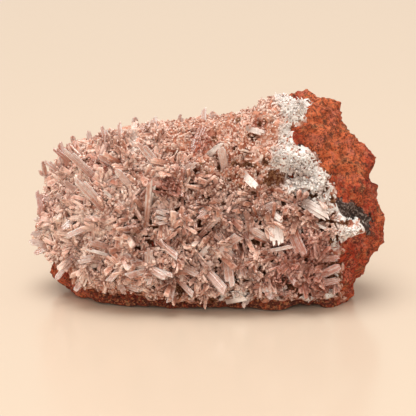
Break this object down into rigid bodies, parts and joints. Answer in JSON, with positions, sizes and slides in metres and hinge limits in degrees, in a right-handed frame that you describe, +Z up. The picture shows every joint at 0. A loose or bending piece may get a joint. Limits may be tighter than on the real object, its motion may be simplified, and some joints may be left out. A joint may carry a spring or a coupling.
{
  "type": "mineral specimen",
  "caption": "Mineral specimen: a crust of pink and white bladed crystals on a lump of rust-red iron-oxide rock, standing on one edge.",
  "frame": {"origin": "centre of the flat foot that the specimen stands on", "axes": "+X towards the bare rock at the right-hand end, -Y towards the crystal-covered front, +Z up"},
  "size_m": [0.1268, 0.0615, 0.0723],
  "materials": {
    "matrix_rock": "rough, granular and earthy",
    "crystal_crust": "vitreous, translucent peach-pink blades, white and fibrous along the bare rock"
  },
  "bodies": {
    "root": {"matrix_rock": "matrix_rock", "crystal_crust": "crystal_crust"}
  },
  "joints": []
}
